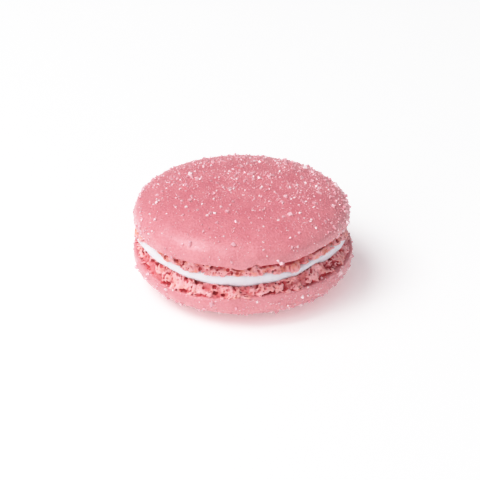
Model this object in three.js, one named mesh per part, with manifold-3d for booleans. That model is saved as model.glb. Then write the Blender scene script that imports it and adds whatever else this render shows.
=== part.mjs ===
// A sugared French macaron: two almond-meringue shells with a disc of white cream between.
// Millimetres, +Z up. The origin is the middle of the flat spot it rests on, and -Y is the front.
//
// Each shell is baked in one piece. Its cap is a smooth dome, and under the cap's rim is the
// foot, the craggy ruffle that rises in the oven. The lower shell lies with its dome down.

import * as THREE from "three";
import { mergeVertices } from "three/addons/utils/BufferGeometryUtils.js";
import Module from "manifold-3d";

// Driving dimensions. A cap runs from the foot's crease to the top of its dome.
const UPPER = {
  seed: 11,
  sagSign: -1, // which way the layers' sag goes in the shell's own frame
  capRadius: 21.9,
  capHeight: 6.5,
  footRadius: 20.2,
  footHeight: 2.65,
  grains: 100,
  grainsFrom: 0,
};
const LOWER = {
  seed: 5,
  sagSign: 1,
  capRadius: 22.1,
  capHeight: 7.4,
  footRadius: 20.0,
  footHeight: 1.75,
  grains: 54,
  grainsFrom: 0.55, // none near the flat spot
};
const REST_RADIUS = 8; // the flat spot on the lower dome
const CREAM = { seed: 7, radius: 19.9, thickness: 1.8, bulge: 0.4 };
const SEAT_GAP = 0.05; // between the cream and each shell

// The dome's outline is a superellipse, flat on top with a full shoulder.
const DOME_POWER_OUT = 2.35;
const DOME_POWER_UP = 3.2;
const DOME_RINGS = 8;
const RIM_HEIGHT = 0.6; // from the crease to the cap's widest ring
const RIM_TUCK = 0.9; // how far the rim turns in to the crease
const SEGMENTS = 120;

// Relief: how far each thing moves the surface.
const CAP_WAVE = 0.18; // the cap isn't quite round
const RIM_WAVE = 0.2; // the rim dips and lifts
const FOOT_WAVE = 0.22;
const FOOT_CRAG = 0.32;
const CREAM_WAVE = 0.15;
const PIT_DEPTH = 0.8; // burst bubbles in the foot
const PIT_SHARE = 0.16;
const SIDE_SWELL = 1.6; // the feet and the cream spill out on the left and right
const SIDE_SAG = 0.9; // and the cream dips there, under a taller upper foot
const SIDE_POWER = 10; // how suddenly they do

// Sugar grains.
const GRAIN_LONG = [0.65, 1.2];
const GRAIN_SHAPE = [0.6, 0.95]; // the shorter sides, as shares of the long one
const GRAIN_SINK = 0.25; // how far down a grain's middle is, as a share of the long side
const GOLDEN_ANGLE = Math.PI * (3 - Math.sqrt(5));

const wasm = await Module();
wasm.setup();

// A seeded source of numbers from 0 to 1.
function seeded(seed) {
  let state = seed;
  return () => {
    state = (state + 0x6d2b79f5) | 0;
    let t = Math.imul(state ^ (state >>> 15), 1 | state);
    t = (t + Math.imul(t ^ (t >>> 7), 61 | t)) ^ t;
    return ((t ^ (t >>> 14)) >>> 0) / 4294967296;
  };
}

function between([low, high], share) {
  return low + (high - low) * share;
}

// A smooth wave round the macaron, from -1 to 1, added up from whole numbers of crests.
function waveRound(random, crests) {
  const parts = crests.map((count) => ({ count, phase: 2 * Math.PI * random() }));
  return (angle) => {
    const sum = parts.reduce((total, p) => total + Math.sin(p.count * angle + p.phase), 0);
    return sum / parts.length;
  };
}

// 0 at the front and back, 1 at the left and right. Angles are measured from the front.
function sideness(angle) {
  return Math.abs(Math.sin(angle)) ** SIDE_POWER;
}

// How far the cream's faces dip. It grows evenly from the middle, so that faces of any radius fit together.
function sag(angle, radius) {
  return (SIDE_SAG * sideness(angle) * radius) / CREAM.radius;
}

// A point of the dome above its widest ring: share is 0 at the top and 1 at the ring.
function domePoint(radius, height, share) {
  const turn = (share * Math.PI) / 2;
  return new THREE.Vector2(
    radius * Math.sin(turn) ** (2 / DOME_POWER_OUT),
    height * Math.cos(turn) ** (2 / DOME_POWER_UP),
  );
}

// How far the dome has come down from its top at a radius.
function domeDrop(domeRadius, height, radius) {
  const rise = (1 - (radius / domeRadius) ** DOME_POWER_OUT) ** (1 / DOME_POWER_UP);
  return height * (1 - rise);
}

// The unit normal of the dome at a point of its outline.
function domeNormal(radius, height, at) {
  const out = (DOME_POWER_OUT / radius) * (at.x / radius) ** (DOME_POWER_OUT - 1);
  const up = (DOME_POWER_UP / height) * (at.y / height) ** (DOME_POWER_UP - 1);
  return new THREE.Vector2(out, up).normalize();
}

// Turns an outline of { at, relief } about Z. relief(angle, segment) gives [out, up] in mm.
function turned(outline) {
  const geometry = new THREE.LatheGeometry(
    outline.map((p) => p.at),
    SEGMENTS,
  );
  geometry.rotateX(Math.PI / 2);
  const position = geometry.getAttribute("position");
  for (let i = 0; i < position.count; i++) {
    const { at, relief } = outline[i % outline.length];
    if (!relief) continue;
    const segment = Math.floor(i / outline.length) % SEGMENTS;
    const [out, up] = relief((2 * Math.PI * segment) / SEGMENTS, segment);
    const grow = 1 + out / at.x;
    position.setXYZ(i, position.getX(i) * grow, position.getY(i) * grow, at.y + up);
  }
  return geometry;
}

// A shell standing on its flat underside, from the middle of that face out and up to the dome's top.
function shellGeometry(shell) {
  const { seed, sagSign, capRadius, capHeight, footRadius, footHeight } = shell;
  const random = seeded(seed);
  const capWave = waveRound(random, [2, 3, 5]);
  const rimWave = waveRound(random, [4, 7, 11]);
  const footWave = waveRound(random, [5, 9, 14]);
  const crag = () =>
    random() < PIT_SHARE ? -PIT_DEPTH * random() : FOOT_CRAG * (2 * random() - 1);

  const foot = (radius, height) => {
    const crags = Array.from({ length: SEGMENTS }, crag);
    const risen = height / footHeight;
    const relief = (angle, segment) => [
      FOOT_WAVE * footWave(angle) + SIDE_SWELL * sideness(angle) + crags[segment],
      sagSign * sag(angle, radius) * (1 - risen) + RIM_WAVE * rimWave(angle) * risen ** 4,
    ];
    return { at: new THREE.Vector2(radius, height), relief };
  };
  const rim = (radius, height) => ({
    at: new THREE.Vector2(radius, height),
    relief: (angle) => [CAP_WAVE * capWave(angle), RIM_WAVE * rimWave(angle)],
  });
  const cap = (share) => {
    const at = domePoint(capRadius, capHeight - RIM_HEIGHT, share);
    at.y += footHeight + RIM_HEIGHT;
    const relief = (angle) => [CAP_WAVE * capWave(angle) * share, 0];
    return { at, relief: share > 0 ? relief : null };
  };

  const seatRadius = footRadius - 1.2;
  const creaseRadius = capRadius - RIM_TUCK;
  const outline = [
    { at: new THREE.Vector2(0, 0) },
    {
      at: new THREE.Vector2(seatRadius, 0),
      relief: (angle) => [0, sagSign * sag(angle, seatRadius)],
    },
    foot(footRadius, 0.25),
    foot(footRadius + 0.35, footHeight * 0.45),
    foot(footRadius + 0.4, footHeight * 0.75),
    foot(creaseRadius - 0.7, footHeight - 0.05),
    rim(creaseRadius + 0.25, footHeight + 0.05),
    rim(capRadius - 0.2, footHeight + 0.25),
  ];
  for (let ring = DOME_RINGS; ring >= 0; ring--) outline.push(cap(ring / DOME_RINGS));
  return turned(outline);
}

// The cream is pressed out to the feet, with a soft bulging side.
function creamGeometry({ seed, radius, thickness, bulge }) {
  const wave = waveRound(seeded(seed), [3, 6, 10]);
  const side = (out, up) => ({
    at: new THREE.Vector2(radius + out, thickness * up),
    relief: (angle) => {
      const swell = CREAM_WAVE * wave(angle) + SIDE_SWELL * sideness(angle);
      return [swell, -sag(angle, radius + out + swell)];
    },
  });
  return turned([
    { at: new THREE.Vector2(0, 0) },
    side(-bulge, 0),
    side(0, 0.3),
    side(0, 0.7),
    side(-bulge, 1),
    { at: new THREE.Vector2(0, thickness) },
  ]);
}

// Sugar grains lie evenly over the cap on a sunflower spiral, each turned its own way and partly sunk.
function grainGeometries({ seed, capRadius, capHeight, footHeight, grains, grainsFrom }) {
  const random = seeded(seed + 100);
  const domeHeight = capHeight - RIM_HEIGHT;
  return Array.from({ length: grains }, (_, i) => {
    const share = Math.sqrt(between([grainsFrom ** 2, 0.98], (i + 0.5) / grains));
    const angle = i * GOLDEN_ANGLE + 0.4 * random();
    const long = between(GRAIN_LONG, random());
    const grain = new THREE.BoxGeometry(
      long,
      long * between(GRAIN_SHAPE, random()),
      long * between(GRAIN_SHAPE, random()),
    );
    grain.rotateX(2 * Math.PI * random());
    grain.rotateY(2 * Math.PI * random());
    const at = domePoint(capRadius, domeHeight, share);
    at.addScaledVector(domeNormal(capRadius, domeHeight, at), GRAIN_SINK * long * (random() - 0.5));
    const up = at.y + footHeight + RIM_HEIGHT;
    grain.translate(at.x * Math.cos(angle), at.x * Math.sin(angle), up);
    return grain;
  });
}

// One closed solid of a three.js geometry, with its vertices joined by place alone.
function toSolid(geometry) {
  const bare = new THREE.BufferGeometry();
  bare.setAttribute("position", geometry.getAttribute("position"));
  bare.setIndex(geometry.getIndex());
  const merged = mergeVertices(bare, 1e-4);
  const vertProperties = merged.getAttribute("position").array;
  const triVerts = new Uint32Array(merged.getIndex().array);
  return new wasm.Manifold(new wasm.Mesh({ numProp: 3, vertProperties, triVerts }));
}

function toMesh(name, solid, material) {
  const { vertProperties, triVerts } = solid.getMesh();
  const geometry = new THREE.BufferGeometry();
  geometry.setAttribute("position", new THREE.BufferAttribute(vertProperties, 3));
  geometry.setIndex(new THREE.BufferAttribute(triVerts, 1));
  geometry.computeVertexNormals();
  const mesh = new THREE.Mesh(geometry, material);
  mesh.name = name;
  return mesh;
}

function shellSolid(shell) {
  const grains = grainGeometries(shell).map(toSolid);
  return grains.reduce((whole, grain) => whole.add(grain), toSolid(shellGeometry(shell)));
}

const cream = new THREE.MeshStandardMaterial({ color: 0xf3f0f2, roughness: 0.5, metalness: 0 });
const upperMeringue = new THREE.MeshStandardMaterial({
  color: 0xe58f9b,
  roughness: 0.8,
  metalness: 0,
});
const lowerMeringue = upperMeringue.clone();

// The lower shell is cut flat at the top of its dome, then turned over to rest on that cut.
const restDrop = domeDrop(LOWER.capRadius, LOWER.capHeight - RIM_HEIGHT, REST_RADIUS);
const lowerHeight = LOWER.footHeight + LOWER.capHeight - restDrop;
const aboveRest = new THREE.BoxGeometry(60, 60, 10);
aboveRest.translate(0, 0, lowerHeight + 5);
const lowerSolid = shellSolid(LOWER).subtract(toSolid(aboveRest));
const lowerShell = toMesh("lower_shell", lowerSolid, lowerMeringue);
lowerShell.rotation.x = Math.PI;
lowerShell.position.z = lowerHeight;

const filling = toMesh("cream_filling", toSolid(creamGeometry(CREAM)), cream);
filling.position.z = lowerHeight + SEAT_GAP;

const upperShell = toMesh("upper_shell", shellSolid(UPPER), upperMeringue);
upperShell.position.z = filling.position.z + CREAM.thickness + SEAT_GAP;

const macaron = new THREE.Group();
macaron.add(lowerShell, filling, upperShell);

export default macaron;
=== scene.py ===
import math

import bpy
import numpy as np
from mathutils import Matrix, Vector


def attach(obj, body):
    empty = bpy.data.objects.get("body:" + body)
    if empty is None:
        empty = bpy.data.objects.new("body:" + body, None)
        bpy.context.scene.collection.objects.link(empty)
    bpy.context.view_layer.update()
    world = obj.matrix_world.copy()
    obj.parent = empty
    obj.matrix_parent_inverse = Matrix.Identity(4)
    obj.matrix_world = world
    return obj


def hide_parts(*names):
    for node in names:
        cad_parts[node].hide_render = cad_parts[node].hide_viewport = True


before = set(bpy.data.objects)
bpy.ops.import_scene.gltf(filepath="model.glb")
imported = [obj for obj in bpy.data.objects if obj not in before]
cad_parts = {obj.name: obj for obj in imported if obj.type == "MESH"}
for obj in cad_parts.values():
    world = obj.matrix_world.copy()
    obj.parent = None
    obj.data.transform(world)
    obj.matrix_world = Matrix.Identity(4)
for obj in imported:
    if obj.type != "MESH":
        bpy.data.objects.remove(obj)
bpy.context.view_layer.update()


# ---------------------------------------------------------------- lower cap
# The lower shell's cap: almond meringue piped as a round, dried to a skin and baked. It lies
# dome down, so its rim faces up, and the dome has settled on a flat spot about 16 mm across.

MM = 0.001
SEGMENTS = 640
DOME_POWER_OUT = 2.35  # the dome is a superellipse, flat on top with a full shoulder
DOME_POWER_UP = 3.2
RIM_HEIGHT = 0.6  # from the lip's edge to the widest ring
LIP_ROLL = 0.4  # how far in from the widest ring the lip's edge is
ABOUT_RADIUS = 22  # both caps', near enough to make a ripple in mm a share of the radius
UNDER_DOME = 15  # nothing within this radius belongs to the lip


def round_list(heights):
    """A smooth height round the macaron, from a value every 15 degrees. The first is at the front,
    and they go round by the right."""
    heights = np.array(heights, float)

    def at(angle):
        place = np.degrees(angle) / 15 % 24
        before = np.floor(place).astype(int)
        t = place - before
        t = t * t * (3 - 2 * t)
        return heights[before % 24] * (1 - t) + heights[(before + 1) % 24] * t

    return at


def bump(angle, middle, half_width):
    """1 at an angle in degrees, falling smoothly to 0 at half_width to either side."""
    away = (np.degrees(angle) - middle + 180) % 360 - 180
    return np.where(abs(away) < half_width, 0.5 + 0.5 * np.cos(np.pi * away / half_width), 0)


def ripple(points, wavelength, seed, waves=40):
    """Random relief from about -1 to 1 at points in mm: plane waves of one rough length, added
    up."""
    draw = np.random.default_rng(seed)
    total = np.zeros(len(points))
    for _ in range(waves):
        way = draw.normal(size=3)
        way *= 2 * np.pi / (wavelength * draw.uniform(0.7, 1.5)) / np.linalg.norm(way)
        total += np.cos(points @ way + draw.uniform(0, 2 * np.pi))
    return total / math.sqrt(waves / 2) / 2


def around(points):
    """The angle from the front, going right, and the radius of each point."""
    return np.arctan2(points[:, 0], -points[:, 1]), np.hypot(points[:, 0], points[:, 1])


def turned(outline, segments=SEGMENTS):
    """Points and faces of an outline [(radius, height), ...] turned about Z. It starts and ends on
    the axis."""
    rings = np.array(outline[1:-1], float)
    angles = np.arange(segments) * 2 * np.pi / segments
    points = np.empty((len(rings), segments, 3))
    points[..., 0] = rings[:, :1] * np.sin(angles)
    points[..., 1] = -rings[:, :1] * np.cos(angles)
    points[..., 2] = rings[:, 1:]
    ends = [(0, 0, outline[0][1]), (0, 0, outline[-1][1])]
    points = np.vstack([points.reshape(-1, 3), ends])
    first, last = len(points) - 2, len(points) - 1
    here = np.arange(segments)
    there = (here + 1) % segments
    faces = [(first, int(b), int(a)) for a, b in zip(here, there)]
    for ring in range(len(rings) - 1):
        low, high = ring * segments, (ring + 1) * segments
        faces += [
            (low + int(a), low + int(b), high + int(b), high + int(a)) for a, b in zip(here, there)
        ]
    low = (len(rings) - 1) * segments
    faces += [(last, low + int(a), low + int(b)) for a, b in zip(here, there)]
    return points, faces


def solid_piece(name, points, faces):
    """A smooth-shaded object from points in mm and faces, with its faces pointing out."""
    mesh = bpy.data.meshes.new(name)
    mesh.from_pydata((np.asarray(points) * MM).tolist(), [], faces)
    mesh.validate()
    face_outward(mesh)
    piece = bpy.data.objects.new(name, mesh)
    bpy.context.scene.collection.objects.link(piece)
    return piece


def face_outward(mesh):
    """Turns a closed mesh the right way round, by the sign of its volume."""
    mesh.calc_loop_triangles()
    corners = np.empty(len(mesh.loop_triangles) * 3, np.int32)
    mesh.loop_triangles.foreach_get("vertices", corners)
    co = np.empty(len(mesh.vertices) * 3)
    mesh.vertices.foreach_get("co", co)
    a, b, c = co.reshape(-1, 3)[corners].reshape(-1, 3, 3).transpose(1, 0, 2)
    if (a * np.cross(b, c)).sum() < 0:
        mesh.flip_normals()
    mesh.shade_smooth()


def dome_outline(radius, height, lip, rest_radius=0):
    """The cap's outline from the top of the dome, round the lip and back under to the axis.
    Heights are measured from the lip's edge. rest_radius is the flat spot's."""
    dome = height - RIM_HEIGHT
    flat = dome * (1 - (rest_radius / radius) ** DOME_POWER_OUT) ** (1 / DOME_POWER_UP)
    outline = [(0.0, flat + RIM_HEIGHT)]
    for turn in np.linspace(0, np.pi / 2, 86)[1:]:
        r = radius * np.sin(turn) ** (2 / DOME_POWER_OUT)
        z = dome * max(np.cos(turn), 0) ** (2 / DOME_POWER_UP)
        outline.append((r, min(z, flat) + RIM_HEIGHT))
    for turn in np.linspace(0, np.pi / 2, 10)[1:]:
        outline.append((radius - LIP_ROLL * (1 - np.cos(turn)), RIM_HEIGHT * (1 - np.sin(turn))))
    for turn in np.linspace(0, np.pi / 2, 10)[1:]:
        inward = LIP_ROLL + (lip - LIP_ROLL) * np.sin(turn)
        outline.append((radius - inward, RIM_HEIGHT * (1 - np.cos(turn))))
    for r in np.linspace(radius - lip, 0, 8)[1:]:
        outline.append((r, RIM_HEIGHT))
    return outline


LOWER_CAP_RADIUS = 22.15
REST_RADIUS = 8  # of the flat spot
LOWER_CAP_HEIGHT = 7.45  # from the lip's edge down to where the dome's top would be
LOWER_LIP = 1.7  # how far the rim rolls in
LOWER_LIP_BAND = 3  # how far from its edge the lip's ups and downs are felt
LOWER_SPREAD = 0.4  # how much wider the rim is at the far left and right
LOWER_CREASE = 7.2  # the height of the lip's edge above the table
LOWER_SHIFT = 0.3  # the lower shell sits this far to the right of the upper one
lower_crease = round_list(
    [7.1, 7.3, 7.3, 7.3, 7.2, 7.0, 7.3, 7.5, 7.3, 7.1, 7.3, 7.4]
    + [7.2, 7.1, 7.3, 7.4, 7.4, 7.8, 8.0, 7.5, 6.9, 6.3, 6.2, 6.6]
)

outline = dome_outline(LOWER_CAP_RADIUS, LOWER_CAP_HEIGHT, LOWER_LIP, REST_RADIUS)
lower_depth = outline[0][1]
points, faces = turned(outline)
angle, radius = around(points)
rimness = np.clip((radius / LOWER_CAP_RADIUS - 0.8) / 0.15, 0, 1)
softness = np.clip((radius - REST_RADIUS - 0.5) / 4, 0, 1)  # the flat spot stays flat
near_lip = np.clip(1 - points[:, 2] / LOWER_LIP_BAND, 0, 1) * (radius > UNDER_DOME)

# Long, shallow ripples over the dome, short ones in the rim, and the finest along the lip.
grow = 1 + (0.10 * ripple(points, 16, 1) + 0.06 * rimness * ripple(points, 3.2, 2)) / ABOUT_RADIUS
by_rim = np.clip(1.6 - points[:, 2] / LOWER_LIP_BAND, 0, 1)
grow += LOWER_SPREAD / ABOUT_RADIUS * abs(np.sin(angle)) ** 6 * by_rim
points[:, :2] *= grow[:, None]
lift = near_lip * (lower_crease(angle) - LOWER_CREASE)
lift += near_lip * (0.09 * ripple(points, 2.2, 3) + 0.04 * ripple(points, 0.8, 5))
lift -= softness * 0.05 * ripple(points, 7, 4)
points[:, 2] = LOWER_CREASE - points[:, 2] * LOWER_CREASE / lower_depth + lift
points[:, 0] += LOWER_SHIFT
lower_cap = solid_piece("lower_cap", points, faces)


def linear(code):
    """An sRGB hex colour as linear RGBA."""
    channels = [int(code[i : i + 2], 16) / 255 for i in (1, 3, 5)]
    return [c / 12.92 if c <= 0.04045 else ((c + 0.055) / 1.055) ** 2.4 for c in channels] + [1.0]


def add(tree, kind, settings=None, inputs=None):
    """Adds a node. Inputs are by name or number, each a value or the node or socket it comes from.
    Numbers serve where names repeat: a colour mix has its factor at 0 and its colours at 6 and 7,
    and a range is mapped from 1 and 2 to 3 and 4."""
    node = tree.nodes.new(kind)
    for name, value in (settings or {}).items():
        setattr(node, name, value)
    for name, value in (inputs or {}).items():
        if isinstance(value, bpy.types.Node):
            value = value.outputs[0]
        if isinstance(value, bpy.types.NodeSocket):
            tree.links.new(value, node.inputs[name])
        else:
            node.inputs[name].default_value = value
    return node


def new_material(name):
    """An empty node material: the material, its tree and its output node."""
    material = bpy.data.materials.new(name)
    material.use_nodes = True
    tree = material.node_tree
    tree.nodes.clear()
    return material, tree, add(tree, "ShaderNodeOutputMaterial")


# Almond meringue skin: a dried, baked foam of ground almond, sugar and egg white, dyed pink.
# It is smooth with a soft satin gleam and a faint orange peel, light goes a millimetre into it,
# and the ground almond shows as a fine mottle. Below the top of the dome, and on all of the lower
# cap, the skin is painted paler, a painted whitish sheen. Rare pinholes are painted darker as
# painted shade. The mottle and the peel are drawn at about 0.4 mm, probably coarser than on a
# real one, to show.
meringue_skin, tree, out = new_material("pink_meringue_skin")
place = add(tree, "ShaderNodeTexCoord").outputs["Object"]
clouds = add(
    tree,
    "ShaderNodeTexNoise",
    inputs={"Vector": place, "Scale": 1 / (4 * MM), "Detail": 2.0, "Roughness": 0.5},
)
mottle = add(
    tree,
    "ShaderNodeTexNoise",
    inputs={"Vector": place, "Scale": 1 / (0.45 * MM), "Detail": 2.0, "Roughness": 0.6},
)
faint = add(tree, "ShaderNodeMath", {"operation": "MULTIPLY"}, {0: clouds.outputs["Fac"], 1: 0.35})
blend = add(
    tree,
    "ShaderNodeMath",
    {"operation": "MULTIPLY_ADD"},
    {0: mottle.outputs["Fac"], 1: 0.65, 2: faint},
)
pinks = add(tree, "ShaderNodeValToRGB", inputs={0: blend})
ramp = pinks.color_ramp
ramp.elements[0].position = 0.37
ramp.elements[0].color = linear("#cc6572")
ramp.elements[1].position = 0.63
ramp.elements[1].color = linear("#e1868f")
# Painted sheen: below 16 mm of height the skin is mixed towards a pale pink, fading out by 19.5 mm.
height = add(tree, "ShaderNodeSeparateXYZ", inputs={0: place}).outputs[2]
painted_sheen = add(
    tree, "ShaderNodeMapRange", inputs={0: height, 1: 16 * MM, 2: 19.5 * MM, 3: 0.26, 4: 0.0}
)
pinks_with_sheen = add(
    tree,
    "ShaderNodeMix",
    {"data_type": "RGBA"},
    {0: painted_sheen, 6: pinks.outputs["Color"], 7: linear("#e2a0a4")},
)
# Rare pinholes: pits bumped into the skin and painted dark mauve, a painted shade in them.
specks = add(
    tree,
    "ShaderNodeTexVoronoi",
    inputs={"Vector": place, "Scale": 1 / (1.9 * MM)},
)
speck_mask = add(
    tree,
    "ShaderNodeMapRange",
    inputs={0: specks.outputs["Distance"], 1: 0.04, 2: 0.09, 3: 1.0, 4: 0.0},
)
chance = add(tree, "ShaderNodeSeparateColor", inputs={0: specks.outputs["Color"]})
rare = add(tree, "ShaderNodeMath", {"operation": "GREATER_THAN"}, {0: chance, 1: 0.85})
shaded_pinhole = add(tree, "ShaderNodeMath", {"operation": "MULTIPLY"}, {0: speck_mask, 1: rare})
shaded_pinhole = add(tree, "ShaderNodeMath", {"operation": "MULTIPLY"}, {0: shaded_pinhole, 1: 0.5})
skin_colour = add(
    tree,
    "ShaderNodeMix",
    {"data_type": "RGBA"},
    {0: shaded_pinhole, 6: pinks_with_sheen.outputs[2], 7: linear("#a94a5c")},
)
peel = add(
    tree,
    "ShaderNodeTexNoise",
    inputs={"Vector": place, "Scale": 1 / (0.4 * MM), "Detail": 2.0, "Roughness": 0.55},
)
pores = add(tree, "ShaderNodeMath", {"operation": "MULTIPLY_ADD"}, {0: shaded_pinhole, 1: -1.2, 2: peel})
relief = add(
    tree,
    "ShaderNodeBump",
    inputs={"Strength": 1.0, "Distance": 0.2 * MM, "Height": pores},
)
skin = add(
    tree,
    "ShaderNodeBsdfPrincipled",
    inputs={
        "Base Color": skin_colour.outputs[2],
        "Roughness": 0.5,
        "IOR": 1.5,
        "Coat Weight": 0.9,
        "Coat Roughness": 0.42,
        "Subsurface Weight": 0.15,
        "Subsurface Radius": (1.0, 0.45, 0.4),
        "Subsurface Scale": 1.0 * MM,
        "Normal": relief,
    },
)
tree.links.new(skin.outputs[0], out.inputs[0])

lower_cap.data.materials.append(meringue_skin)
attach(lower_cap, "root")
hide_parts("lower_shell")


# --------------------------------------------------------------- lower foot
# The lower shell's foot: the ruffle of raw foam that rises under the skin in the oven and
# bursts. It is a crumb of open bubbles, painted pale on its knobs as a painted highlight and
# painted deep red down in its holes as painted shade.

FOOT_TUCK = 0.6  # how far the foot runs on inside the cap
FOOT_INSIDE = 18.6  # the ring's inner radius, hidden in the macaron
CREAM_COVER = 19.3  # nothing is carved within this radius, where the cream hides it
VOXEL = 0.145
BLOCK_REACH = 22.6  # half the width of the block that the foot is carved from
BLOCK_BOTTOM, BLOCK_TOP = -0.9, 3.9
RING_VERTICES = 5000  # a loose shell has fewer
BUBBLES = (  # how far apart, the least and greatest radius, and how deep they go
    (1.8, 0.12, 0.56, 0.85),
    (0.9, 0.12, 0.39, 0.6),
    (0.6, 0.08, 0.26, 0.4),
)
BUBBLE_EXTRA = 0.28  # added to their radius along the cream, where Edge Pits is 1
CRACK_CELL = 3.4  # how far apart the cracks are
CRACK_DEPTH = 1.0
CURL = -1.7  # how steeply the foot curls in beyond the crease
GROOVE_OUT = 0.35  # the groove's middle lies this far outside the ring
GROOVE_SHAPE = 0.42  # its height as a share of its depth


def foot_tree():
    """Geometry nodes for a straight foot in mm: a ring standing on z = 0, of knobs and burst
    bubbles. It is worked out as a depth below the surface, which is 0 on the surface itself."""
    tree = bpy.data.node_groups.new("macaron_foot", "GeometryNodeTree")
    face = tree.interface
    face.new_socket("Geometry", in_out="OUTPUT", socket_type="NodeSocketGeometry")
    for name in (
        "Foot Radius",  # at the cream's edge
        "Foot Spread",  # how much wider it is at the crease
        "Foot Height",
        "Knob Relief",
        "Edge Relief",  # how far the knobs shape the cream's edge
        "Seed Shift",  # another foot has other knobs and bubbles
        "Groove Drop",  # how far the groove lies from the crease
        "Groove Size",
        "Groove Share",
        "Right Undercut",  # how much further the foot is eaten away under the lip on the right
        "Edge Pits",  # how much wider the bubbles are that burst along the cream
    ):
        face.new_socket(name, in_out="INPUT", socket_type="NodeSocketFloat")
    face.new_socket("Material", in_out="INPUT", socket_type="NodeSocketMaterial")
    given = add(tree, "NodeGroupInput").outputs
    out = add(tree, "NodeGroupOutput")

    place = add(tree, "GeometryNodeInputPosition")
    shift = add(tree, "ShaderNodeCombineXYZ", inputs={2: given["Seed Shift"]})
    moved = add(tree, "ShaderNodeVectorMath", {"operation": "ADD"}, {0: place, 1: shift})
    wires = {socket.name: socket for socket in given}
    wires["x"], wires["y"], wires["z"] = add(
        tree, "ShaderNodeSeparateXYZ", inputs={0: place}
    ).outputs

    # The patterns in the foam, each with its size in mm.
    cell, noise = "ShaderNodeTexVoronoi", "ShaderNodeTexNoise"
    for name, kind, size, settings, detail in (
        ("knobs", cell, 2.1, {}, {}),
        ("crumbs", cell, 0.72, {}, {}),
        ("swell", noise, 3.0, {}, {"Detail": 1.0}),
        ("grit", noise, 0.4, {}, {"Detail": 2.0, "Roughness": 0.6}),
        ("cracks", cell, CRACK_CELL, {"feature": "DISTANCE_TO_EDGE"}, {}),
        ("cracked", noise, 2.3, {}, {"Detail": 1.0}),
        ("torn", noise, 2.6, {}, {"Detail": 3.0, "Roughness": 0.6}),
    ):
        pattern = add(tree, kind, settings, {"Vector": moved, "Scale": 1 / size, **detail})
        wires[name] = pattern.outputs["Distance" if kind == cell else 0]

    # The foot is worked out in steps. Each gives its name, its operation and what goes in, and a
    # name that comes again stands for its newest value from there on.
    # The plain ring spreads from the cream's edge to the crease, and curls in beyond it.
    ring = [
        ("yy", "MULTIPLY", "y", "y"),
        ("rr", "MULTIPLY_ADD", "x", "x", "yy"),
        ("radius", "SQRT", "rr"),
        ("share", "DIVIDE", "z", "Foot Height"),
        ("share", "MINIMUM", "share", 1.0),
        ("share", "MAXIMUM", "share", 0.0),
        ("lean", "DIVIDE", "x", 20.0),
        ("lean", "MULTIPLY", "lean", "Right Undercut"),
        ("undercut", "MAXIMUM", "lean", 0.0),
        ("spread", "MULTIPLY_ADD", "undercut", -4.0, "Foot Spread"),
        ("outer", "MULTIPLY_ADD", "share", "spread", "Foot Radius"),
        ("beyond", "SUBTRACT", "z", "Foot Height"),
        ("beyond", "MAXIMUM", "beyond", 0.0),
        ("outer", "MULTIPLY_ADD", "beyond", CURL, "outer"),
        ("side", "SUBTRACT", "outer", "radius"),
        ("top", "ADD", "Foot Height", FOOT_TUCK),
        ("top", "SUBTRACT", "top", "z"),
        ("plain", "SMOOTH_MIN", "side", "z", 0.3),
    ]
    # Knobs of crumb about 2 and 0.7 mm across, with clefts between them, and a fine grit.
    knobs = [
        ("knobs", "MULTIPLY", "knobs", "knobs"),
        ("relief", "MULTIPLY_ADD", "knobs", -1.5, 0.45),
        ("relief", "ADD", "relief", 0.12),
        ("crumbs", "MULTIPLY", "crumbs", "crumbs"),
        ("relief", "MULTIPLY_ADD", "crumbs", -0.45, "relief"),
        ("swell", "SUBTRACT", "swell", 0.5),
        ("relief", "MULTIPLY_ADD", "swell", 1.6, "relief"),
        ("grit", "SUBTRACT", "grit", 0.5),
        ("relief", "MULTIPLY_ADD", "grit", 0.7, "relief"),
        ("relief", "SMOOTH_MIN", "relief", 0.4, 0.25),
        ("relief", "SMOOTH_MAX", "relief", -0.5, 0.25),
        ("relief", "MULTIPLY", "relief", "Knob Relief"),
        ("rough side", "ADD", "side", "relief"),
        ("rough edge", "MULTIPLY_ADD", "relief", "Edge Relief", "z"),
        ("body", "SMOOTH_MIN", "rough side", "rough edge", 0.2),
    ]
    # Cracks wander through it here and there, down to a millimetre deep.
    cracks = [
        ("width", "MULTIPLY_ADD", "cracked", 1.5, -0.75),
        ("cracks", "MULTIPLY", "cracks", CRACK_CELL),
        ("cracks", "SUBTRACT", "cracks", "width"),
        ("floor", "SUBTRACT", "body", CRACK_DEPTH),
        ("hollow", "MAXIMUM", "cracks", "floor"),
    ]
    # Burst bubbles, which may be wider in the first 0.7 mm along the cream.
    bubbles = [
        ("at edge", "MULTIPLY_ADD", "z", -1.4, 1.0),
        ("at edge", "MAXIMUM", "at edge", 0.0),
        ("at edge", "MINIMUM", "at edge", 1.0),
        ("at edge", "MULTIPLY", "at edge", "Edge Pits"),
    ]
    for number, (spacing, least, most, depth) in enumerate(BUBBLES):
        cells = add(tree, cell, inputs={"Vector": moved, "Scale": 1 / spacing})
        wires[f"cell {number}"] = cells.outputs["Distance"]
        wires[f"chance {number}"] = add(
            tree, "FunctionNodeSeparateColor", inputs={0: cells.outputs["Color"]}
        )
        bubbles += [
            ("size", "POWER", f"chance {number}", 1.5),
            ("size", "MULTIPLY_ADD", "size", most - least, least),
            ("size", "MULTIPLY_ADD", "at edge", BUBBLE_EXTRA, "size"),
            ("bubble", "MULTIPLY", f"cell {number}", spacing),
            ("bubble", "SUBTRACT", "bubble", "size"),
            ("floor", "SUBTRACT", "body", depth),
            ("bubble", "MAXIMUM", "bubble", "floor"),
            ("hollow", "SMOOTH_MIN", "hollow", "bubble", 0.05),
        ]
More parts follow.
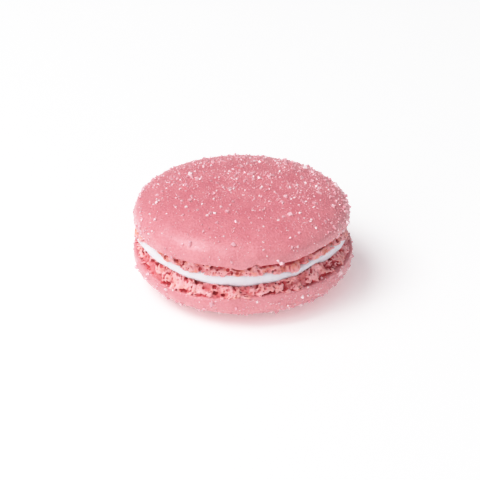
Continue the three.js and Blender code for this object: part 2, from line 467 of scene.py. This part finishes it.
    # Where the foot has torn from the skin, a ragged groove runs under the lip.
    groove = [
        ("torn share", "ADD", "Groove Share", "lean"),
        ("torn share", "SUBTRACT", "torn share", 1.0),
        ("torn", "ADD", "torn", "torn share"),
        ("torn", "MULTIPLY", "torn", 7.0),
        ("torn", "MINIMUM", "torn", 1.0),
        ("wider", "MULTIPLY_ADD", "lean", 2.0, 1.0),
        ("wider", "MULTIPLY", "wider", "Groove Size"),
        ("half", "MULTIPLY", "torn", "wider"),
        ("middle", "SUBTRACT", "Foot Height", "Groove Drop"),
        ("high", "SUBTRACT", "z", "middle"),
        ("deep", "ADD", "outer", GROOVE_OUT),
        ("deep", "SUBTRACT", "radius", "deep"),
        ("deep", "MULTIPLY", "deep", GROOVE_SHAPE),
        ("deep", "MULTIPLY", "deep", "deep"),
        ("away", "MULTIPLY_ADD", "high", "high", "deep"),
        ("away", "SQRT", "away"),
        ("away", "MULTIPLY_ADD", "grit", 0.3, "away"),
        ("groove", "SUBTRACT", "away", "half"),
        ("hollow", "SMOOTH_MIN", "hollow", "groove", 0.08),
    ]
    # The hollows are taken out of the body, which is cut off inside the cap and the macaron.
    # The crumb's painted shade and highlight go by how far a spot is sunk below the plain ring, or
    # in a bubble.
    crumb = [
        ("covered", "SUBTRACT", CREAM_COVER, "radius"),
        ("hollow", "MAXIMUM", "hollow", "covered"),
        ("crumb", "SMOOTH_MIN", "body", "hollow", 0.06),
        ("crumb", "MINIMUM", "crumb", "top"),
        ("inside", "SUBTRACT", "radius", FOOT_INSIDE),
        ("crumb", "MINIMUM", "crumb", "inside"),
        ("sunk in bubble", "MULTIPLY", "body", 1.3),
        ("sunk", "MULTIPLY", "plain", 0.8),
        ("sunk", "MAXIMUM", "sunk", "sunk in bubble"),
    ]
    for name, operation, *terms in ring + knobs + cracks + bubbles + groove + crumb:
        inputs = {number: wires.get(term, term) for number, term in enumerate(terms)}
        wires[name] = add(tree, "ShaderNodeMath", {"operation": operation}, inputs)

    block = add(
        tree,
        "GeometryNodeVolumeCube",
        inputs={
            "Density": wires["crumb"],
            "Background": -1.0,
            "Min": (-BLOCK_REACH, -BLOCK_REACH, BLOCK_BOTTOM),
            "Max": (BLOCK_REACH, BLOCK_REACH, BLOCK_TOP),
            "Resolution X": int(2 * BLOCK_REACH / VOXEL),
            "Resolution Y": int(2 * BLOCK_REACH / VOXEL),
            "Resolution Z": int((BLOCK_TOP - BLOCK_BOTTOM) / VOXEL),
        },
    )
    skin = add(
        tree,
        "GeometryNodeVolumeToMesh",
        inputs={"Volume": block, "Threshold": 0.0, "Adaptivity": 0.06},
    )

    # Only the ring itself is kept: a bubble sealed in the crumb leaves a shell of its own.
    island = add(tree, "GeometryNodeInputMeshIsland")
    count = add(
        tree,
        "GeometryNodeAccumulateField",
        {"data_type": "INT", "domain": "POINT"},
        {"Value": 1, "Group ID": island.outputs["Island Index"]},
    )
    loose = add(
        tree,
        "FunctionNodeCompare",
        {"data_type": "INT", "operation": "LESS_THAN"},
        {"A": count.outputs["Total"], "B": RING_VERTICES},
    )
    kept = add(
        tree,
        "GeometryNodeDeleteGeometry",
        {"domain": "POINT"},
        {"Geometry": skin, "Selection": loose},
    )
    depth = add(
        tree,
        "GeometryNodeStoreNamedAttribute",
        {"data_type": "FLOAT", "domain": "POINT"},
        {"Geometry": kept, "Name": "pit_depth", "Value": wires["sunk"]},
    )
    finish = add(
        tree,
        "GeometryNodeSetMaterial",
        inputs={"Geometry": depth, "Material": given["Material"]},
    )
    tree.links.new(finish.outputs[0], out.inputs[0])
    return tree


def grown(name, tree, sizes, surface=None):
    """What a geometry node tree makes with its inputs set by name, as a new plain mesh object.
    surface is the mesh that the tree works on, if it needs one."""
    start = surface.copy() if surface else bpy.data.meshes.new(name + "_start")
    seed = bpy.data.objects.new(name + "_start", start)
    bpy.context.scene.collection.objects.link(seed)
    modifier = seed.modifiers.new("grow", "NODES")
    modifier.node_group = tree
    for socket in tree.interface.items_tree:
        if socket.item_type == "SOCKET" and socket.in_out == "INPUT" and socket.name in sizes:
            modifier[socket.identifier] = sizes[socket.name]
    bpy.context.view_layer.update()
    graph = bpy.context.evaluated_depsgraph_get()
    mesh = bpy.data.meshes.new_from_object(seed.evaluated_get(graph))
    seed.modifiers.remove(modifier)
    bpy.data.objects.remove(seed)
    mesh.name = name
    piece = bpy.data.objects.new(name, mesh)
    bpy.context.scene.collection.objects.link(piece)
    return piece


def coordinates(mesh):
    """The mesh's vertices as rows of x, y and z."""
    co = np.empty(len(mesh.vertices) * 3)
    mesh.vertices.foreach_get("co", co)
    return co.reshape(-1, 3)


SIDE_POWER = 10  # the higher it is, the more a swell keeps to the far left and right


def bend_foot(piece, foot_height, cream_edge, crease, upward, swell, shift=0):
    """Lays a straight foot between the cream's edge and the cap's crease, and puts it in metres.
    upward is 1 where it runs up from the cream and -1 where it runs down, and swell is how far
    it spills out on the left and right."""
    co = coordinates(piece.data)
    angle, radius = around(co)
    out = radius + swell * abs(np.sin(angle)) ** SIDE_POWER
    share = co[:, 2] / foot_height
    start, end = cream_edge(angle), crease(angle)
    height = start + (end - start) * np.minimum(share, 1)
    height += (np.maximum(share, 1) - 1) * foot_height * upward
    co[:, :2] *= (out / radius)[:, None]
    co[:, 0] += shift
    co[:, 2] = height
    piece.data.vertices.foreach_set("co", (co * MM).ravel())
    piece.data.update()
    face_outward(piece.data)


LOWER_FOOT_RADIUS = 20.15
LOWER_FOOT_HEIGHT = 2.2
LOWER_FOOT_SWELL = 0.35
lower_cream_edge = round_list(
    [8.7, 9.1, 9.3, 10.2, 9.3, 9.1, 8.5, 9.0, 9.1, 9.3, 9.0, 8.8]
    + [8.9, 9.1, 9.3, 9.1, 9.0, 9.0, 8.5, 9.7, 9.4, 9.35, 8.95, 8.85]
)

# Meringue crumb: the same foam torn open. Its knobs are chalky, with a painted highlight that
# makes them palest on their tops, the holes between them are painted deep red as painted shade,
# and it toasts to orange in patches, more so on the upper foot. Its grain is drawn at 0.4 mm,
# probably coarser than on a real one, to show.
meringue_crumb, tree, out = new_material("pink_meringue_crumb")
place = add(tree, "ShaderNodeTexCoord").outputs["Object"]
pit = add(tree, "ShaderNodeAttribute", {"attribute_name": "pit_depth"})
# Painted shade: the deeper pit_depth says a spot is sunk, the more it is painted deep red.
deep = add(
    tree,
    "ShaderNodeMapRange",
    inputs={0: pit.outputs["Fac"], 1: 0.1, 2: 0.7, 3: 0.0, 4: 1.0},
)
toast = add(
    tree,
    "ShaderNodeTexNoise",
    inputs={"Vector": place, "Scale": 1 / (1.6 * MM), "Detail": 3.0, "Roughness": 0.6},
)
height = add(tree, "ShaderNodeSeparateXYZ", inputs={0: place}).outputs[2]
upper = add(tree, "ShaderNodeMapRange", inputs={0: height, 1: 9 * MM, 2: 11 * MM, 3: 0.3, 4: 0.65})
toasted = add(
    tree,
    "ShaderNodeMapRange",
    inputs={0: toast.outputs["Fac"], 1: 0.48, 2: 0.62, 3: 0.0, 4: upper},
)
grain = add(
    tree,
    "ShaderNodeTexNoise",
    inputs={"Vector": place, "Scale": 1 / (0.4 * MM), "Detail": 2.0, "Roughness": 0.6},
)
# Painted highlight: knobs that stand out beyond the plain ring are painted paler, most at their
# tops.
painted_knob_highlight = add(
    tree,
    "ShaderNodeMapRange",
    inputs={0: pit.outputs["Fac"], 1: 0.0, 2: 0.25, 3: 0.4, 4: 0.0},
)
grain_and_highlight = add(
    tree,
    "ShaderNodeMath",
    {"operation": "MULTIPLY_ADD"},
    {0: grain.outputs["Fac"], 1: 0.65, 2: painted_knob_highlight},
)
knobs = add(
    tree,
    "ShaderNodeMix",
    {"data_type": "RGBA"},
    {0: grain_and_highlight, 6: linear("#d5707a"), 7: linear("#ffc6c8")},
)
knobs = add(
    tree,
    "ShaderNodeMix",
    {"data_type": "RGBA"},
    {0: toasted, 6: knobs.outputs[2], 7: linear("#ea8c70")},
)
crumb_colour = add(
    tree,
    "ShaderNodeMix",
    {"data_type": "RGBA"},
    {0: deep, 6: knobs.outputs[2], 7: linear("#c64a50")},
)
relief = add(
    tree,
    "ShaderNodeBump",
    inputs={"Strength": 1.0, "Distance": 0.13 * MM, "Height": grain.outputs["Fac"]},
)
crumb = add(
    tree,
    "ShaderNodeBsdfPrincipled",
    inputs={
        "Base Color": crumb_colour.outputs[2],
        "Roughness": 0.7,
        "IOR": 1.45,
        "Specular IOR Level": 0.3,
        "Subsurface Weight": 0.2,
        "Subsurface Radius": (1.0, 0.4, 0.35),
        "Subsurface Scale": 0.6 * MM,
        "Normal": relief,
    },
)
tree.links.new(crumb.outputs[0], out.inputs[0])

foot_nodes = foot_tree()
lower_foot = grown(
    "lower_foot",
    foot_nodes,
    {
        "Foot Radius": LOWER_FOOT_RADIUS,
        "Foot Spread": 1.8,
        "Foot Height": LOWER_FOOT_HEIGHT,
        "Knob Relief": 1.0,
        "Edge Relief": 0.35,
        "Seed Shift": 47.0,
        "Groove Drop": 0.15,
        "Groove Size": 0.5,
        "Groove Share": 0.57,
        "Right Undercut": 0.0,
        "Edge Pits": 0.4,
        "Material": meringue_crumb,
    },
)
bend_foot(
    lower_foot,
    LOWER_FOOT_HEIGHT,
    lower_cream_edge,
    lower_crease,
    -1,
    LOWER_FOOT_SWELL,
    LOWER_SHIFT,
)
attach(lower_foot, "root")
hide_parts("lower_shell")


# ------------------------------------------------------------ cream filling
# A disc of stiff white cream, piped on the lower shell and pressed out by the upper one until
# it meets the feet's edges. Its side is smooth, bulges a little and has a few pinholes.

CREAM_RADIUS = 20.15
CREAM_SEGMENTS = 960
CREAM_ROUNDING = 0.9  # how far in from its widest ring the side starts
CREAM_OVERLAP = 0.35  # how far it runs on into each foot
CREAM_SWELL = 1.3


def cream_swell(angle):
    """How far the cream is pressed out, which is most at the far left and right."""
    return CREAM_SWELL * abs(np.sin(angle)) ** SIDE_POWER


upper_cream_edge = round_list(
    [11.1, 11.1, 10.4, 11.2, 11.45, 10.95, 9.5, 10.6, 11.2, 10.8, 11.1, 10.9]
    + [10.8, 11.1, 10.7, 10.9, 11.2, 10.8, 9.5, 10.8, 11.3, 11.1, 10.7, 10.85]
)


def bare_gap(angle):
    """On the left the upper foot hardly rose, and the cream stands up to the cap there."""
    return 1.0 * bump(angle, -64, 13) ** 0.6


# Its outline is drawn with a height from 0 to 1, and then stretched between the two feet.
start = CREAM_RADIUS - CREAM_ROUNDING
lower_edge = [(r, 0.0) for r in np.linspace(0, start, 6)]
side = [
    (start + CREAM_ROUNDING * np.sin(t) ** 0.7, 0.5 - 0.5 * np.cos(t))
    for t in np.linspace(0, np.pi, 27)[1:-1]
]
upper_edge = [(r, 1.0) for r in np.linspace(start, 0, 6)]
points, faces = turned(lower_edge + side + upper_edge, CREAM_SEGMENTS)
angle, radius = around(points)
rimness = np.clip((radius - 16) / 3, 0, 1)
low = lower_cream_edge(angle) - CREAM_OVERLAP
high = upper_cream_edge(angle) + bare_gap(angle) + CREAM_OVERLAP
points[:, 2] = low + (high - low) * points[:, 2]
swell = cream_swell(angle) + 0.10 * ripple(points, 5, 21) + 0.035 * ripple(points, 1.6, 22)
points[:, :2] *= (1 + rimness * swell / np.maximum(radius, 1))[:, None]
cream_filling = solid_piece("white_cream", points, faces)

# Buttercream: whipped fat and sugar, smooth from the piping nozzle. It is white with a soft
# satin gleam and a few pinholes, and light sinks well into it, so its shade stays pale.
white_cream, tree, out = new_material("white_buttercream")
place = add(tree, "ShaderNodeTexCoord").outputs["Object"]
streaks = add(
    tree,
    "ShaderNodeTexNoise",
    inputs={"Vector": place, "Scale": 1 / (2.5 * MM), "Detail": 3.0, "Roughness": 0.5},
)
cream_colour = add(
    tree,
    "ShaderNodeMix",
    {"data_type": "RGBA"},
    {0: streaks.outputs["Fac"], 6: linear("#dbd9e1"), 7: linear("#e7e5eb")},
)
pinholes = add(tree, "ShaderNodeTexVoronoi", inputs={"Vector": place, "Scale": 1 / (1.3 * MM)})
pinhole = add(
    tree,
    "ShaderNodeMapRange",
    inputs={0: pinholes.outputs["Distance"], 1: 0.06, 2: 0.14, 3: 0.0, 4: 1.0},
)
relief = add(
    tree,
    "ShaderNodeBump",
    inputs={"Strength": 0.4, "Distance": 0.1 * MM, "Height": pinhole},
)
satin = add(
    tree,
    "ShaderNodeBsdfPrincipled",
    inputs={
        "Base Color": cream_colour.outputs[2],
        "Roughness": 0.42,
        "IOR": 1.46,
        "Subsurface Weight": 0.5,
        "Subsurface Radius": (1.0, 0.9, 0.85),
        "Subsurface Scale": 1.2 * MM,
        "Normal": relief,
    },
)
tree.links.new(satin.outputs[0], out.inputs[0])
cream_filling.data.materials.append(white_cream)
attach(cream_filling, "root")
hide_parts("cream_filling")


# --------------------------------------------------------------- upper foot
# The upper shell's foot: the same torn crumb as the lower one, hanging from the upper cap with
# its open bubbles round the edge of the cream.

UPPER_FOOT_RADIUS = 20.4
UPPER_FOOT_HEIGHT = 2.65
UPPER_FOOT_SWELL = 1.5
UPPER_CREASE = 13.6
upper_crease_round = round_list(
    [13.75, 14.0, 13.95, 14.4, 14.4, 13.9, 13.3, 13.5, 13.8, 13.6, 13.9, 13.6]
    + [13.7, 13.9, 13.6, 13.8, 13.5, 13.6, 13.3, 13.35, 13.3, 13.35, 13.65, 13.8]
)


def upper_crease(angle):
    """The lip hangs in a lobe at the front, beside a nick where the skin folded."""
    return upper_crease_round(angle) - 0.55 * bump(angle, -1, 6) + 0.55 * bump(angle, 7.5, 2.5)


upper_foot = grown(
    "upper_foot",
    foot_nodes,
    {
        "Foot Radius": UPPER_FOOT_RADIUS,
        "Foot Spread": -0.7,
        "Foot Height": UPPER_FOOT_HEIGHT,
        "Knob Relief": 0.62,
        "Edge Relief": 0.2,
        "Seed Shift": 90.0,
        "Groove Drop": 1.05,
        "Groove Size": 0.34,
        "Groove Share": 0.68,
        "Right Undercut": 0.22,
        "Edge Pits": 0.0,
        "Material": meringue_crumb,
    },
)
bend_foot(
    upper_foot,
    UPPER_FOOT_HEIGHT,
    lambda angle: upper_cream_edge(angle) + bare_gap(angle),
    upper_crease,
    1,
    UPPER_FOOT_SWELL,
)
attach(upper_foot, "root")
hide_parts("upper_shell")


# ---------------------------------------------------------------- upper cap
# The upper shell's cap: the same skin as the lower one, dome up. Its lip rolls in over the foot.

UPPER_CAP_RADIUS = 21.95
UPPER_CAP_HEIGHT = 6.4
UPPER_LIP = 1.6
UPPER_LIP_BAND = 3.5

points, faces = turned(dome_outline(UPPER_CAP_RADIUS, UPPER_CAP_HEIGHT, UPPER_LIP))
angle, radius = around(points)
rimness = np.clip((radius / UPPER_CAP_RADIUS - 0.8) / 0.15, 0, 1)
near_lip = np.clip(1 - points[:, 2] / UPPER_LIP_BAND, 0, 1) * (radius > UNDER_DOME)
grow = 1 + (
    0.12 * ripple(points, 16, 11) + 0.06 * rimness * ripple(points, 3.2, 12)
) / ABOUT_RADIUS
points[:, :2] *= grow[:, None]
lift = near_lip * (upper_crease(angle) - UPPER_CREASE)
lift += near_lip * (0.10 * ripple(points, 2.2, 13) + 0.04 * ripple(points, 0.8, 15))
lift += 0.05 * ripple(points, 7, 14)
points[:, 2] += UPPER_CREASE + lift
upper_cap = solid_piece("upper_cap", points, faces)
upper_cap.data.materials.append(meringue_skin)
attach(upper_cap, "root")
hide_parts("upper_shell")


# ------------------------------------------------------------- sugar grains
# Coarse and fine sugar, strewn on both caps while they were tacky. The crystals are clear
# broken blocks up to a millimetre, thickest on the back and right of the top.

BLOCKS, BLUNT_GRAINS = 3, 2  # how many crystals there are to pick from
BLUNT_RADIUS = 0.55  # as a share of a grain's size, as the next two are
CHIP = 0.17  # how far a crystal's corners are moved at most
SEAT = 0.2  # how far its middle stands off the skin
FULL_TURN = 6.283  # radians


def sugar_tree():
    """Geometry nodes that strew crystals over a surface, as thick as its sugar_share says."""
    tree = bpy.data.node_groups.new("sugar_strewing", "GeometryNodeTree")
    face = tree.interface
    face.new_socket("Geometry", in_out="OUTPUT", socket_type="NodeSocketGeometry")
    face.new_socket("Surface", in_out="INPUT", socket_type="NodeSocketGeometry")
    for name in ("Grains per Square Metre", "Smallest", "Largest"):
        face.new_socket(name, in_out="INPUT", socket_type="NodeSocketFloat")
    face.new_socket("Seed", in_out="INPUT", socket_type="NodeSocketInt")
    face.new_socket("Material", in_out="INPUT", socket_type="NodeSocketMaterial")
    given = add(tree, "NodeGroupInput").outputs
    out = add(tree, "NodeGroupOutput")

    # The crystals to pick from: broken blocks first, then blunter grains.
    shapes = add(tree, "GeometryNodeJoinGeometry")
    for shape in range(BLOCKS + BLUNT_GRAINS):
        if shape < BLOCKS:
            start = add(tree, "GeometryNodeMeshCube", inputs={"Size": (1, 1, 1)})
        else:
            start = add(tree, "GeometryNodeMeshIcoSphere", inputs={"Radius": BLUNT_RADIUS})
        chip = add(
            tree,
            "FunctionNodeRandomValue",
            {"data_type": "FLOAT_VECTOR"},
            {"Min": (-CHIP, -CHIP, -CHIP), "Max": (CHIP, CHIP, CHIP), "Seed": shape + 3},
        )
        chipped = add(tree, "GeometryNodeSetPosition", inputs={"Geometry": start, "Offset": chip})
        hull = add(tree, "GeometryNodeConvexHull", inputs={"Geometry": chipped})
        single = add(tree, "GeometryNodeGeometryToInstance", inputs={0: hull})
        tree.links.new(single.outputs[0], shapes.inputs[0])

    share = add(
        tree,
        "GeometryNodeInputNamedAttribute",
        {"data_type": "FLOAT"},
        {"Name": "sugar_share"},
    )
    density = add(
        tree,
        "ShaderNodeMath",
        {"operation": "MULTIPLY"},
        {0: share, 1: given["Grains per Square Metre"]},
    )
    points = add(
        tree,
        "GeometryNodeDistributePointsOnFaces",
        inputs={"Mesh": given["Surface"], "Density": density, "Seed": given["Seed"]},
    )
    size = add(
        tree,
        "FunctionNodeRandomValue",
        {"data_type": "FLOAT"},
        {"Min": given["Smallest"], "Max": given["Largest"], "Seed": given["Seed"]},
    )
    lift = add(tree, "ShaderNodeMath", {"operation": "MULTIPLY"}, {0: size.outputs[1], 1: SEAT})
    raised = add(
        tree,
        "ShaderNodeVectorMath",
        {"operation": "SCALE"},
        {"Vector": points.outputs["Normal"], "Scale": lift},
    )
    turn = add(
        tree,
        "FunctionNodeRandomValue",
        {"data_type": "FLOAT_VECTOR"},
        {"Min": (0, 0, 0), "Max": (FULL_TURN, FULL_TURN, FULL_TURN), "Seed": 7},
    )
    stretch = add(
        tree,
        "FunctionNodeRandomValue",
        {"data_type": "FLOAT_VECTOR"},
        {"Min": (0.6, 0.6, 0.7), "Max": (1.0, 1.0, 1.15), "Seed": 8},
    )
    scale = add(
        tree,
        "ShaderNodeVectorMath",
        {"operation": "SCALE"},
        {"Vector": stretch, "Scale": size.outputs[1]},
    )
    which = add(
        tree,
        "FunctionNodeRandomValue",
        {"data_type": "INT"},
        {"Min": 0, "Max": BLOCKS + BLUNT_GRAINS - 1, "Seed": 9},
    )
    seated = add(tree, "GeometryNodeSetPosition", inputs={"Geometry": points, "Offset": raised})
    grains = add(
        tree,
        "GeometryNodeInstanceOnPoints",
        inputs={
            "Points": seated,
            "Instance": shapes,
            "Pick Instance": True,
            "Instance Index": which.outputs[2],
            "Rotation": turn,
            "Scale": scale,
        },
    )
    real = add(tree, "GeometryNodeRealizeInstances", inputs={"Geometry": grains})
    finish = add(
        tree, "GeometryNodeSetMaterial", inputs={"Geometry": real, "Material": given["Material"]}
    )
    tree.links.new(finish.outputs[0], out.inputs[0])
    return tree


# Crystal sugar: clear, colourless broken blocks. Each lets the pink through, glints on the faces
# that catch the light, and looks white where it is thick or heaped. They are drawn mostly opaque
# in pale pinks, and a faint glow stands for the light that passes through a real one.
clear_sugar, tree, out = new_material("clear_sugar_crystal")
each = add(tree, "ShaderNodeNewGeometry").outputs["Random Per Island"]
clearness = add(tree, "ShaderNodeValToRGB", inputs={0: each})
clearness.color_ramp.elements[0].color = linear("#de97a3")
clearness.color_ramp.elements[1].color = linear("#fbeaed")
clearness.color_ramp.elements.new(0.65).color = linear("#e9b7bf")
crystal = add(
    tree,
    "ShaderNodeBsdfPrincipled",
    inputs={
        "Base Color": clearness.outputs["Color"],
        "Roughness": 0.12,
        "IOR": 1.54,
        "Transmission Weight": 0.15,
        "Emission Color": linear("#ffdfe4"),
        "Emission Strength": 0.11,
    },
)
tree.links.new(crystal.outputs[0], out.inputs[0])

sugar_nodes = sugar_tree()


def strew(name, surface, share, node, kinds):
    """Sugar of several sizes on a cap; share is how thick it lies at each of the cap's vertices."""
    thickness = surface.data.attributes.new("sugar_share", "FLOAT", "POINT")
    thickness.data.foreach_set("value", share.astype(np.float32))
    for kind, per_square_mm, smallest, largest, seed in kinds:
        grains = grown(
            f"{name}_{kind}",
            sugar_nodes,
            {
                "Grains per Square Metre": per_square_mm / MM**2,
                "Smallest": smallest * MM,
                "Largest": largest * MM,
                "Seed": seed,
                "Material": clear_sugar,
            },
            surface.data,
        )
        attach(grains, "root")
        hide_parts(node)
    surface.data.attributes.remove(surface.data.attributes["sugar_share"])


def smooth_step(value, low, high):
    """0 up to low, 1 from high on, and smooth between them."""
    t = np.clip((value - low) / (high - low), 0, 1)
    return t * t * (3 - 2 * t)


# On the top it thins out towards the front left, where the skin shows bare. It lies thicker at
# the far left and, just above the lip, at the right. None sticks under the lip.
RIM_SIDE = 21.2  # close to the lip, only what lies beyond this radius faces out
top = coordinates(upper_cap.data) / MM
angle, radius = around(top)
above_lip = top[:, 2] - upper_crease(angle)
outside = (above_lip > 0.9) | ((radius > RIM_SIDE) & (above_lip > 0.1))
share = 0.25 + 0.65 * smooth_step((0.3 * top[:, 0] + 0.83 * top[:, 1]) / ABOUT_RADIUS, -0.7, 0.3)
by_lip = above_lip < 2.5
share += 0.3 * smooth_step(-top[:, 0], 16, 21) + 0.4 * smooth_step(top[:, 0], 13, 19) * by_lip
share *= np.clip(1 + 0.6 * ripple(top, 5, 31), 0.2, 2)
strew(
    "sugar_on_top",
    upper_cap,
    share * outside,
    "upper_shell",
    (  # the name, how many to the square mm, the smallest and largest in mm, and the seed
        ("coarse", 0.05, 0.5, 0.8, 1),
        ("medium", 0.6, 0.26, 0.5, 2),
        ("fine", 2.8, 0.09, 0.21, 3),
    ),
)

# On the lower cap it clings mostly to the front right, and none to the flat spot.
low = coordinates(lower_cap.data) / MM - (LOWER_SHIFT, 0, 0)
angle, radius = around(low)
outside = (low[:, 2] > 0.5) & (low[:, 2] < lower_crease(angle) - 0.1) & (radius > UNDER_DOME)
share = 0.35 + 0.65 * bump(angle, 42, 62) ** 0.5
share *= np.clip(1 + 0.6 * ripple(low, 4, 32), 0.2, 2)
strew(
    "sugar_below",
    lower_cap,
    share * outside,
    "lower_shell",
    (("coarse", 0.09, 0.5, 0.8, 4), ("medium", 0.5, 0.28, 0.5, 5), ("fine", 2.5, 0.09, 0.22, 6)),
)


# ------------------------------------------------------------- studio, camera
# A seamless pale floor, soft boxes from the upper left, the front left and, weaker, the right,
# and a camera that looks down on the rim.

FLOOR = 3  # metres, half its width
floor_mesh = bpy.data.meshes.new("floor")
floor_mesh.from_pydata(
    [(-FLOOR, -FLOOR, 0), (FLOOR, -FLOOR, 0), (FLOOR, FLOOR, 0), (-FLOOR, FLOOR, 0)],
    [],
    [(0, 1, 2, 3)],
)
floor = bpy.data.objects.new("floor", floor_mesh)
bpy.context.scene.collection.objects.link(floor)
paper, tree, out = new_material("white_seamless_paper")
matte = add(
    tree,
    "ShaderNodeBsdfPrincipled",
    inputs={
        "Base Color": linear("#fbfbfb"),
        "Roughness": 0.9,
        "Emission Color": linear("#ffffff"),
        "Emission Strength": 0.22,
    },
)
tree.links.new(matte.outputs[0], out.inputs[0])
floor.data.materials.append(paper)

ELEVATION = math.radians(30)
DISTANCE = 0.360
ROLL = 0.0065
FRAME = 480  # pixels
FOCAL = 1727.7  # in those pixels, as the next two are
AIM_RIGHT, AIM_UP = -1.57, 33.77  # where it points, from the middle of the flat spot
SENSOR = 36  # mm
toward = Vector((0, math.cos(ELEVATION), -math.sin(ELEVATION)))
right = Vector((1, 0, 0))
up = Vector((0, math.sin(ELEVATION), math.cos(ELEVATION)))
aim = (toward * FOCAL + right * AIM_RIGHT + up * AIM_UP).normalized()
side_way = (right * math.cos(ROLL) - up * math.sin(ROLL)).normalized()
side_way = (side_way - aim * side_way.dot(aim)).normalized()
top_way = side_way.cross(aim)
camera = bpy.data.objects.new("camera", bpy.data.cameras.new("camera"))
camera.data.sensor_width = SENSOR
camera.data.lens = SENSOR * FOCAL / FRAME
camera.data.clip_start = 0.01
camera.matrix_world = Matrix(
    (
        (side_way.x, top_way.x, -aim.x, -toward.x * DISTANCE),
        (side_way.y, top_way.y, -aim.y, -toward.y * DISTANCE),
        (side_way.z, top_way.z, -aim.z, -toward.z * DISTANCE),
        (0, 0, 0, 1),
    )
)
bpy.context.scene.collection.objects.link(camera)
bpy.context.scene.camera = camera


def soft_box(name, place, size, watts, colour):
    """A square area light that faces the macaron, with its size in metres."""
    light = bpy.data.lights.new(name, "AREA")
    light.size = size
    light.energy = watts
    light.color = linear(colour)[:3]
    box = bpy.data.objects.new(name, light)
    box.location = place
    box.rotation_euler = (Vector((0, 0, 0.01)) - Vector(place)).to_track_quat("-Z", "Y").to_euler()
    bpy.context.scene.collection.objects.link(box)


soft_box("gloss", (-0.4, -0.04, 0.66), 0.5, 5.0, "#ffffff")
soft_box("key", (-0.44, -0.54, 0.5), 0.8, 3.5, "#fffdfa")
soft_box("fill", (0.55, -0.3, 0.5), 0.6, 0.55, "#ffffff")
world = bpy.data.worlds.new("studio")
bpy.context.scene.world = world
world.use_nodes = True
world.node_tree.nodes["Background"].inputs["Color"].default_value = linear("#fafaff")
world.node_tree.nodes["Background"].inputs["Strength"].default_value = 0.33

# The picture rolls off gently towards white, as film does, so pinks in full light turn pastel.
view = bpy.context.scene.view_settings
view.view_transform = "Standard"
view.use_curve_mapping = True
WHITE = 1.4  # the brightness that comes out as white
view.curve_mapping.white_level = (WHITE, WHITE, WHITE)
roll_off = view.curve_mapping.curves[3]
for light_in, light_out in ((0.5, 0.5), (0.75, 0.74), (1.0, 0.89), (1.2, 0.96)):
    roll_off.points.new(light_in / WHITE, light_out)
view.curve_mapping.update()
